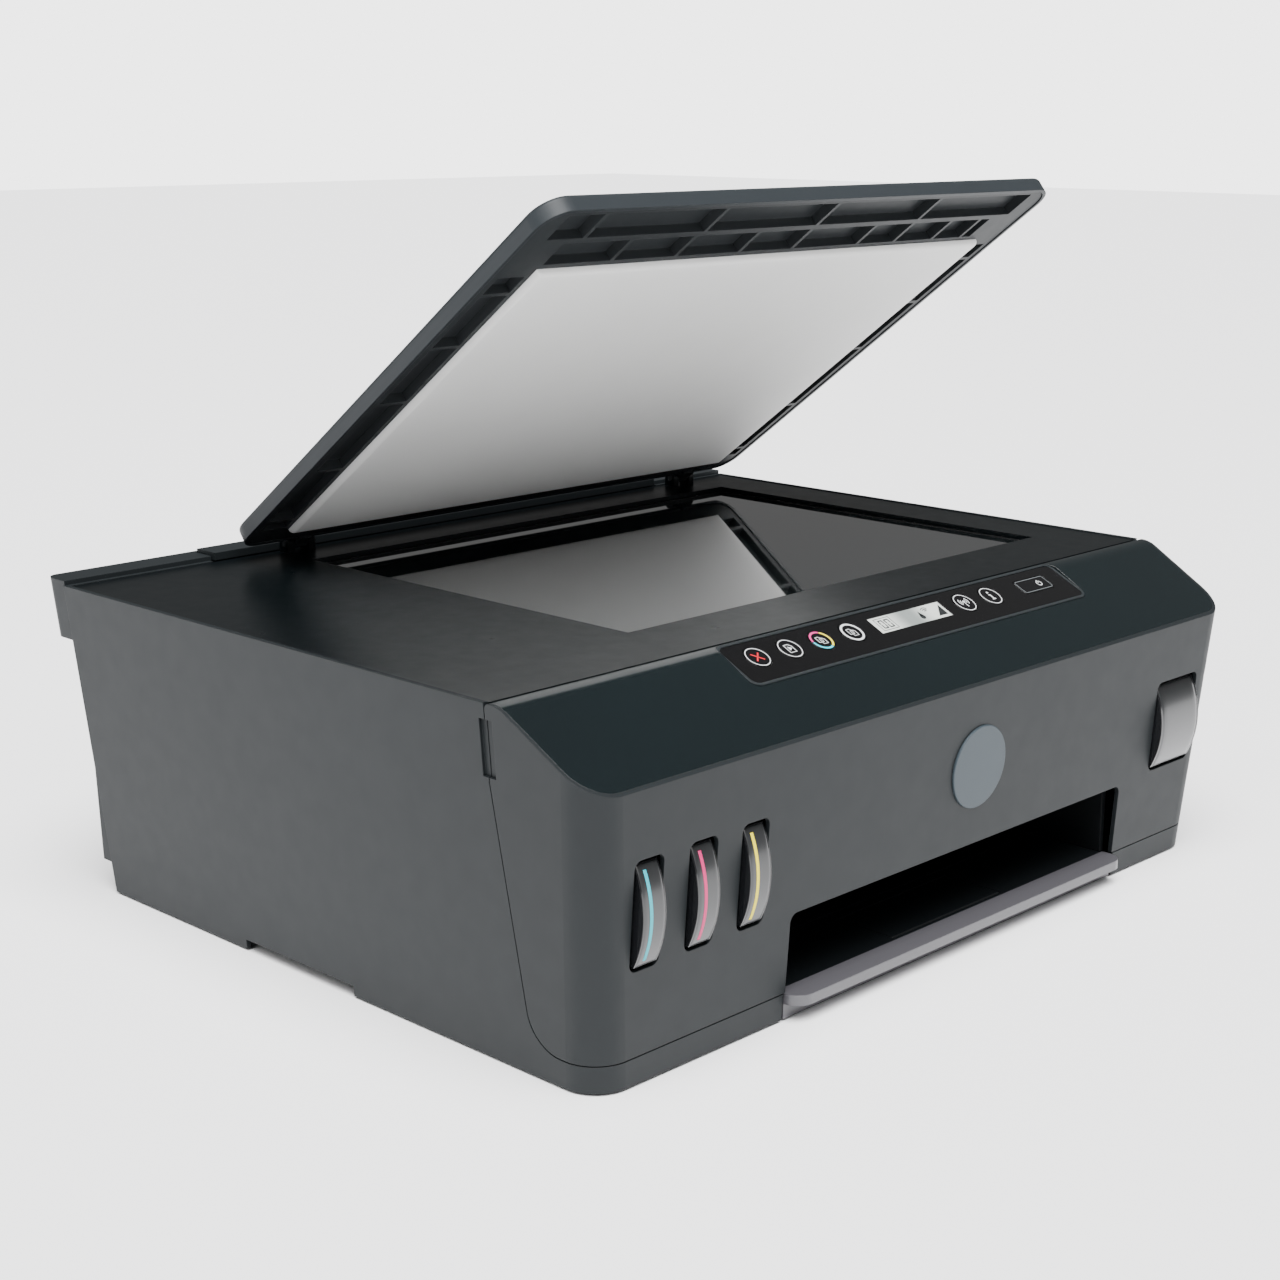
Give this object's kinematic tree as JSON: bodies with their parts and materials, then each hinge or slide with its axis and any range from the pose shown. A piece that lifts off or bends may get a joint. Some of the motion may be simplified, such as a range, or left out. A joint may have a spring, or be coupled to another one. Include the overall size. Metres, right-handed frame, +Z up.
{
  "type": "inkjet printer",
  "caption": "Flatbed ink-tank printer with raised scanner lid, tilting control panel door, ink windows and pull-out paper tray.",
  "frame": {"origin": "middle of the box on the surface that the printer stands on", "axes": "+X right seen from the front, +Y towards the back, +Z up"},
  "size_m": [0.449, 0.3606, 0.3298],
  "materials": {
    "casing_grey": "fine moulded texture",
    "pan_grey": "moulded",
    "foot_rubber": "matt",
    "deck_black": "fine moulded texture",
    "fascia_gloss": "polished",
    "panel_rim_grey": "satin",
    "panel_black": "polished",
    "button_black": "polished",
    "lcd_glass": "polished",
    "board_green": "satin",
    "badge_grey": "satin",
    "glass_clear": "polished",
    "scanner_black": "moulded",
    "lid_grey": "fine moulded texture",
    "lid_dark": "moulded",
    "pad_white": "satin film",
    "tray_smoke": "satin",
    "tank_smoke": "polished",
    "cap_cyan": "matt",
    "cap_magenta": "matt",
    "cap_yellow": "matt",
    "cap_black": "matt",
    "roller_rubber": "ground",
    "gear_nylon": "moulded",
    "rail_steel": "pressed sheet",
    "motor_steel": "satin",
    "mechanism_black": "moulded",
    "screw_steel": "plated"
  },
  "bodies": {
    "base": {"main_casing": "casing_grey", "base_pan": "pan_grey", "rubber_feet": "foot_rubber", "rear_hood": "casing_grey", "rear_cover": "casing_grey", "scanner_deck": "deck_black", "scanner_glass": "glass_clear", "scanner_pan": "scanner_black", "output_tray": "mechanism_black", "tank_cyan": "tank_smoke", "tank_magenta": "tank_smoke", "tank_yellow": "tank_smoke", "tank_black": "tank_smoke", "ink_tubes": "mechanism_black", "carriage_rail": "rail_steel", "carriage_belt": "foot_rubber", "carriage_motor": "motor_steel", "feed_motor": "motor_steel", "platen": "mechanism_black", "service_station": "mechanism_black", "main_board": "board_green", "usb_port": "motor_steel", "power_supply": "mechanism_black", "power_inlet": "mechanism_black", "screws": "screw_steel"},
    "lid": {"lid_shell": "lid_grey", "lid_frame": "lid_dark", "lid_pad": "pad_white"},
    "door": {"front_door": "casing_grey", "door_fascia": "fascia_gloss", "badge_disc": "badge_grey", "panel_frame": "panel_rim_grey", "panel_lens": "panel_black", "lcd_module": "lcd_glass", "panel_board": "board_green"},
    "cancel_key": {"cancel_button": "button_black"},
    "resume_key": {"resume_button": "button_black"},
    "color_copy_key": {"color_copy_button": "button_black"},
    "black_copy_key": {"black_copy_button": "button_black"},
    "wireless_key": {"wireless_button": "button_black"},
    "info_key": {"info_button": "button_black"},
    "power_key": {"power_button": "button_black"},
    "extender": {"tray_extender": "tray_smoke"},
    "stop_flap": {"extender_stop": "tray_smoke"},
    "support": {"paper_support": "casing_grey"},
    "guide_left": {"paper_guide_left": "mechanism_black"},
    "guide_right": {"paper_guide_right": "mechanism_black"},
    "pickup": {"pickup_roller": "roller_rubber"},
    "filler_cap_cyan": {"cap_cyan": "cap_cyan"},
    "filler_cap_magenta": {"cap_magenta": "cap_magenta"},
    "filler_cap_yellow": {"cap_yellow": "cap_yellow"},
    "filler_cap_black": {"cap_black": "cap_black"},
    "sensor_bar": {"cis_bar": "scanner_black"},
    "print_carriage": {"carriage": "mechanism_black", "printheads": "mechanism_black"},
    "belt_pulley": {"drive_pulley": "motor_steel"},
    "feed_shaft": {"feed_roller": "rail_steel", "feed_gear": "gear_nylon"},
    "idler": {"idler_gear": "gear_nylon"},
    "eject_shaft": {"eject_roller": "mechanism_black"}
  },
  "joints": [
    {"name": "lid_hinge", "type": "hinge", "parent": "base", "child": "lid", "pos_m": [0, 0.1556, 0.1543], "axis": [-1, 0, 0], "range_deg": [-37, 43]},
    {"name": "door_hinge", "type": "hinge", "parent": "base", "child": "door", "pos_m": [0, -0.12765, 0.1474], "axis": [-1, 0, 0], "range_deg": [0, 50]},
    {"name": "cancel_press", "type": "slide", "parent": "door", "child": "cancel_key", "axis": [0, 0.4462, -0.8949], "range_m": [0, 0.0006], "stiffness_N_per_m": 400},
    {"name": "resume_press", "type": "slide", "parent": "door", "child": "resume_key", "axis": [0, 0.4462, -0.8949], "range_m": [0, 0.0006], "stiffness_N_per_m": 400},
    {"name": "color_copy_press", "type": "slide", "parent": "door", "child": "color_copy_key", "axis": [0, 0.4462, -0.8949], "range_m": [0, 0.0006], "stiffness_N_per_m": 400},
    {"name": "black_copy_press", "type": "slide", "parent": "door", "child": "black_copy_key", "axis": [0, 0.4462, -0.8949], "range_m": [0, 0.0006], "stiffness_N_per_m": 400},
    {"name": "wireless_press", "type": "slide", "parent": "door", "child": "wireless_key", "axis": [0, 0.4462, -0.8949], "range_m": [0, 0.0006], "stiffness_N_per_m": 400},
    {"name": "info_press", "type": "slide", "parent": "door", "child": "info_key", "axis": [0, 0.4462, -0.8949], "range_m": [0, 0.0006], "stiffness_N_per_m": 400},
    {"name": "power_press", "type": "slide", "parent": "door", "child": "power_key", "axis": [0, 0.4462, -0.8949], "range_m": [0, 0.0006], "stiffness_N_per_m": 400},
    {"name": "extender_slide", "type": "slide", "parent": "base", "child": "extender", "axis": [0, -1, 0], "range_m": [0, 0.11]},
    {"name": "stop_hinge", "type": "hinge", "parent": "extender", "child": "stop_flap", "pos_m": [0.0173, -0.163, 0.011], "axis": [1, 0, 0], "range_deg": [0, 100]},
    {"name": "support_slide", "type": "slide", "parent": "base", "child": "support", "axis": [0, 0.3746, 0.9272], "range_m": [0, 0.08]},
    {"name": "guide_left_slide", "type": "slide", "parent": "base", "child": "guide_left", "axis": [1, 0, 0], "range_m": [0, 0.055]},
    {"name": "guide_right_slide", "type": "slide", "parent": "base", "child": "guide_right", "axis": [-1, 0, 0], "range_m": [0, 0.055]},
    {"name": "pickup_spin", "type": "hinge", "parent": "base", "child": "pickup", "pos_m": [0.0173, 0.108, 0.062], "axis": [1, 0, 0], "continuous": true},
    {"name": "cap_cyan_hinge", "type": "hinge", "parent": "base", "child": "filler_cap_cyan", "pos_m": [-0.19, -0.131, 0.1102], "axis": [-1, 0, 0], "range_deg": [0, 90]},
    {"name": "cap_magenta_hinge", "type": "hinge", "parent": "base", "child": "filler_cap_magenta", "pos_m": [-0.16, -0.131, 0.1102], "axis": [-1, 0, 0], "range_deg": [0, 90]},
    {"name": "cap_yellow_hinge", "type": "hinge", "parent": "base", "child": "filler_cap_yellow", "pos_m": [-0.13, -0.131, 0.1102], "axis": [-1, 0, 0], "range_deg": [0, 90]},
    {"name": "cap_black_hinge", "type": "hinge", "parent": "base", "child": "filler_cap_black", "pos_m": [0.182, -0.131, 0.1102], "axis": [-1, 0, 0], "range_deg": [0, 90]},
    {"name": "sensor_slide", "type": "slide", "parent": "base", "child": "sensor_bar", "axis": [1, 0, 0], "range_m": [0, 0.293]},
    {"name": "carriage_slide", "type": "slide", "parent": "base", "child": "print_carriage", "axis": [-1, 0, 0], "range_m": [0, 0.25]},
    {"name": "pulley_spin", "type": "hinge", "parent": "base", "child": "belt_pulley", "pos_m": [-0.182, 0.036, 0.1015], "axis": [0, 0, -1], "range_deg": [-5, 2395]},
    {"name": "feed_spin", "type": "hinge", "parent": "base", "child": "feed_shaft", "pos_m": [0.0173, 0.044, 0.042], "axis": [1, 0, 0], "continuous": true},
    {"name": "idler_spin", "type": "hinge", "parent": "base", "child": "idler", "pos_m": [-0.1315, 0.00401, 0.03978], "axis": [1, 0, 0], "continuous": true},
    {"name": "eject_spin", "type": "hinge", "parent": "base", "child": "eject_shaft", "pos_m": [0.0173, -0.028, 0.038], "axis": [1, 0, 0], "continuous": true}
  ],
  "couplings": [
    {"joint": "guide_right_slide", "follows": "guide_left_slide", "ratio": 1},
    {"joint": "pulley_spin", "follows": "carriage_slide", "rad_per_m": 166.67},
    {"joint": "idler_spin", "follows": "feed_spin", "ratio": -1.0169},
    {"joint": "eject_spin", "follows": "feed_spin", "ratio": 1.6667}
  ]
}
